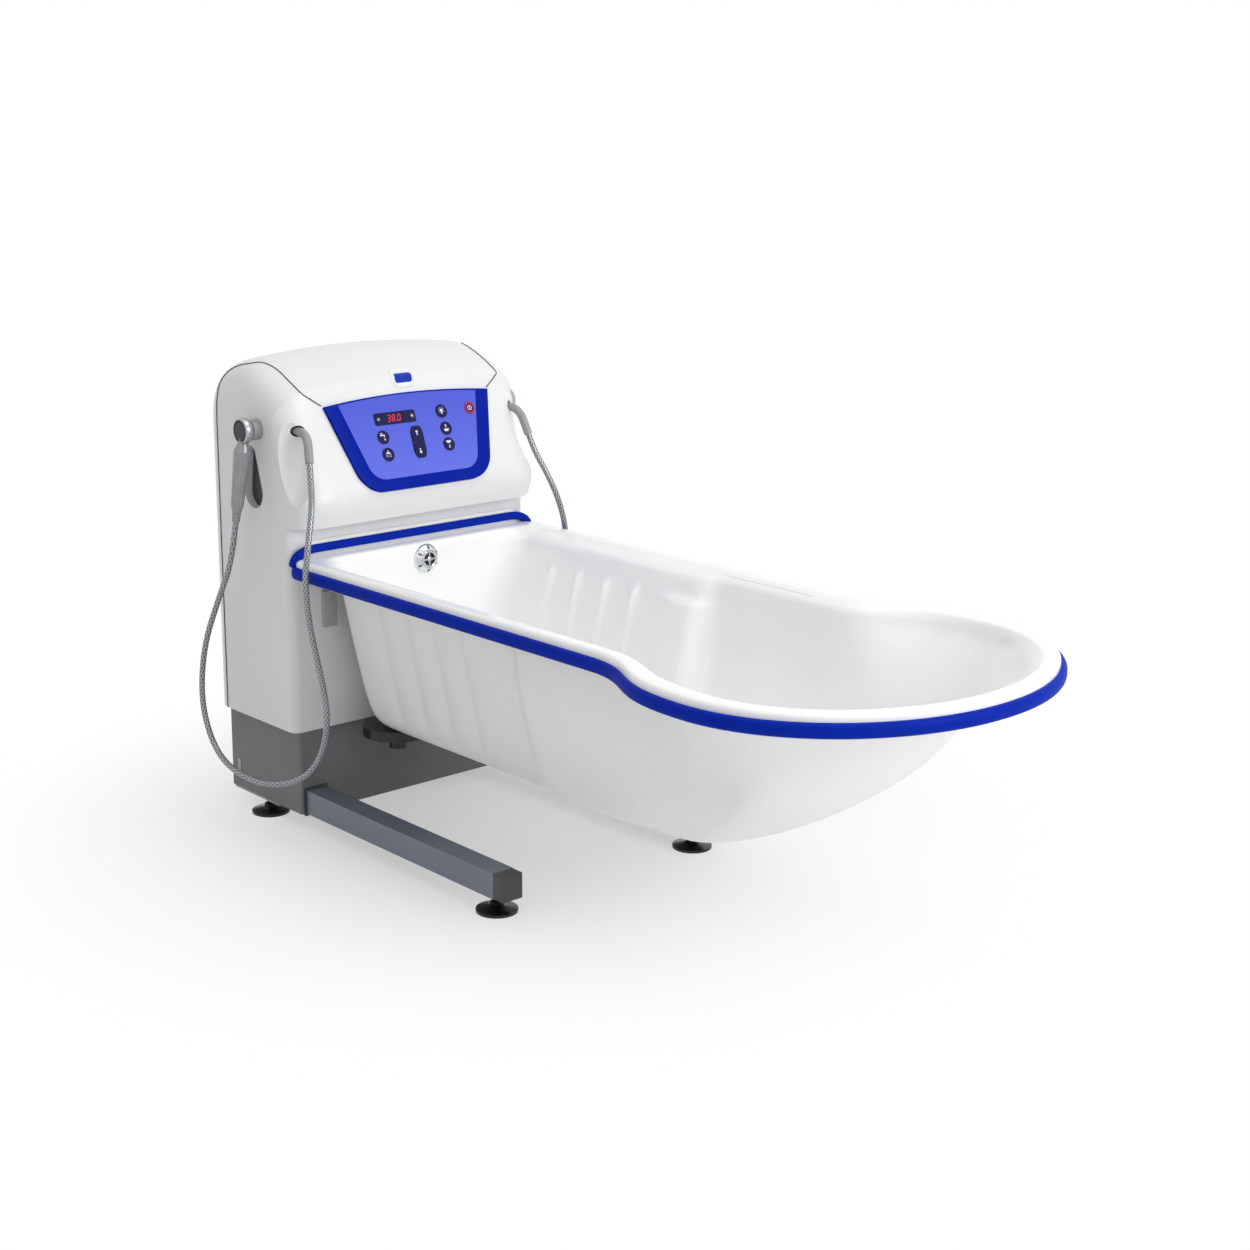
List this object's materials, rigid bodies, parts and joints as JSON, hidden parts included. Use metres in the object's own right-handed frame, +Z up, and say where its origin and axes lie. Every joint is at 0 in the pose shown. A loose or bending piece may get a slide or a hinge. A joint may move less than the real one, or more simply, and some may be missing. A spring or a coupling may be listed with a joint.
{
  "type": "assisted bath",
  "caption": "Height-adjusting assisted bath: cantilevered tub with a wide head end on a cabinet with control panel, hand showers and floor legs.",
  "frame": {"origin": "centre of the footprint box on the floor, under the middle of the overall length", "axes": "+X along the bath from the cabinet to the head end, +Y across it, +Z up"},
  "size_m": [2.121, 0.904, 1.1183],
  "materials": {
    "cabinet_white": "satin moulded plastic",
    "tub_white": "high gloss",
    "bumper_blue": "smooth",
    "panel_navy": "smooth",
    "membrane_blue": "fine satin film",
    "key_navy": "satin film",
    "key_red": "satin film",
    "display_dark": "gloss window",
    "lens_blue": "gloss",
    "base_grey": "satin",
    "leg_grey": "satin",
    "dark_plastic": "matte",
    "foot_black": "semi-gloss",
    "trap_black": "matte",
    "stem_steel": "zinc plated",
    "frame_steel": "powder coat",
    "column_aluminium": "anodised",
    "motor_black": "satin",
    "spindle_steel": "ground",
    "grey_plastic": "matte",
    "fitting_chrome": "polished",
    "fitting_brass": "cast",
    "pipe_grey": "matte",
    "handset_grey": "satin",
    "hose_steel": "braided"
  },
  "bodies": {
    "base": {"base_frame": "frame_steel", "base_shroud": "base_grey", "base_rear_cover": "base_grey", "leg_left": "leg_grey", "leg_right": "leg_grey", "leg_caps": "dark_plastic", "leg_collars": "dark_plastic", "foot_pads": "foot_black", "foot_stems": "stem_steel", "foot_nuts": "stem_steel", "column_outer": "column_aluminium", "lift_motor": "motor_black", "lift_spindle": "spindle_steel", "seam_clips": "grey_plastic", "base_bolts": "stem_steel"},
    "middle_stage": {"column_middle": "column_aluminium", "middle_shroud": "base_grey"},
    "bath": {"column_inner": "column_aluminium", "carriage": "frame_steel", "tub_frame": "frame_steel", "bracket_covers": "grey_plastic", "front_cover": "cabinet_white", "hood": "cabinet_white", "hood_lens": "lens_blue", "panel_frame": "panel_navy", "panel_membrane": "membrane_blue", "display_window": "display_dark", "control_box": "grey_plastic", "mixing_valve": "fitting_brass", "water_pipes": "pipe_grey", "inlet_plate": "grey_plastic", "inlet_nipples": "fitting_brass", "inlet_screws": "stem_steel", "tub_shell": "tub_white", "rim_bumper": "bumper_blue", "back_bumper": "bumper_blue", "overflow_body": "fitting_chrome", "waste_trap": "trap_black", "elbow_left": "handset_grey", "elbow_right": "handset_grey", "holder_left": "handset_grey", "holder_right": "handset_grey", "hose_left": "hose_steel", "hose_right": "hose_steel"},
    "overflow_knob": {"overflow_knob": "fitting_chrome"},
    "drain_plug": {"drain_plug": "fitting_chrome"},
    "handset_left": {"handset_left": "handset_grey", "spray_face_left": "dark_plastic"},
    "handset_right": {"handset_right": "handset_grey", "spray_face_right": "dark_plastic"},
    "key_cooler": {"key_cooler": "key_navy"},
    "key_warmer": {"key_warmer": "key_navy"},
    "key_fill": {"key_fill": "key_navy"},
    "key_shower": {"key_shower": "key_navy"},
    "key_light": {"key_light": "key_navy"},
    "key_raise_bath": {"key_raise_bath": "key_navy"},
    "key_lower_bath": {"key_lower_bath": "key_navy"},
    "key_stop": {"key_stop": "key_red"},
    "key_up": {"key_up": "key_navy"},
    "key_down": {"key_down": "key_navy"}
  },
  "joints": [
    {"name": "lift", "type": "slide", "parent": "base", "child": "bath", "axis": [0, 0, 1], "range_m": [-0.11, 0.29]},
    {"name": "middle_stage_slide", "type": "slide", "parent": "base", "child": "middle_stage", "axis": [0, 0, 1], "range_m": [-0.055, 0.145]},
    {"name": "overflow_knob_turn", "type": "hinge", "parent": "bath", "child": "overflow_knob", "pos_m": [-0.643, 0, 0.624], "axis": [1, 0, 0], "range_deg": [0, 90]},
    {"name": "drain_plug_lift", "type": "slide", "parent": "bath", "child": "drain_plug", "axis": [0, 0, 1], "range_m": [0, 0.009], "stiffness_N_per_m": 40, "springref_m": 0.0255},
    {"name": "handset_left_lift_off", "type": "slide", "parent": "bath", "child": "handset_left", "axis": [0, -0.6, 0.8], "range_m": [0, 0.12]},
    {"name": "handset_right_lift_off", "type": "slide", "parent": "bath", "child": "handset_right", "axis": [0, 0.6, 0.8], "range_m": [0, 0.12]},
    {"name": "key_cooler_press", "type": "slide", "parent": "bath", "child": "key_cooler", "axis": [-0.9208, 0, -0.3901], "range_m": [0, 0.0008], "stiffness_N_per_m": 400, "springref_m": -0.0004},
    {"name": "key_warmer_press", "type": "slide", "parent": "bath", "child": "key_warmer", "axis": [-0.9208, 0, -0.3901], "range_m": [0, 0.0008], "stiffness_N_per_m": 400, "springref_m": -0.0004},
    {"name": "key_fill_press", "type": "slide", "parent": "bath", "child": "key_fill", "axis": [-0.9208, 0, -0.3901], "range_m": [0, 0.0008], "stiffness_N_per_m": 400, "springref_m": -0.0004},
    {"name": "key_shower_press", "type": "slide", "parent": "bath", "child": "key_shower", "axis": [-0.9208, 0, -0.3901], "range_m": [0, 0.0008], "stiffness_N_per_m": 400, "springref_m": -0.0004},
    {"name": "key_light_press", "type": "slide", "parent": "bath", "child": "key_light", "axis": [-0.9208, 0, -0.3901], "range_m": [0, 0.0008], "stiffness_N_per_m": 400, "springref_m": -0.0004},
    {"name": "key_raise_bath_press", "type": "slide", "parent": "bath", "child": "key_raise_bath", "axis": [-0.9208, 0, -0.3901], "range_m": [0, 0.0008], "stiffness_N_per_m": 400, "springref_m": -0.0004},
    {"name": "key_lower_bath_press", "type": "slide", "parent": "bath", "child": "key_lower_bath", "axis": [-0.9208, 0, -0.3901], "range_m": [0, 0.0008], "stiffness_N_per_m": 400, "springref_m": -0.0004},
    {"name": "key_stop_press", "type": "slide", "parent": "bath", "child": "key_stop", "axis": [-0.9208, 0, -0.3901], "range_m": [0, 0.0008], "stiffness_N_per_m": 400, "springref_m": -0.0004},
    {"name": "key_up_press", "type": "slide", "parent": "bath", "child": "key_up", "axis": [-0.9208, 0, -0.3901], "range_m": [0, 0.0008], "stiffness_N_per_m": 400, "springref_m": -0.0004},
    {"name": "key_down_press", "type": "slide", "parent": "bath", "child": "key_down", "axis": [-0.9208, 0, -0.3901], "range_m": [0, 0.0008], "stiffness_N_per_m": 400, "springref_m": -0.0004}
  ],
  "couplings": [
    {"joint": "middle_stage_slide", "follows": "lift", "ratio": 0.5},
    {"joint": "drain_plug_lift", "follows": "overflow_knob_turn", "m_per_rad": 0.005}
  ]
}
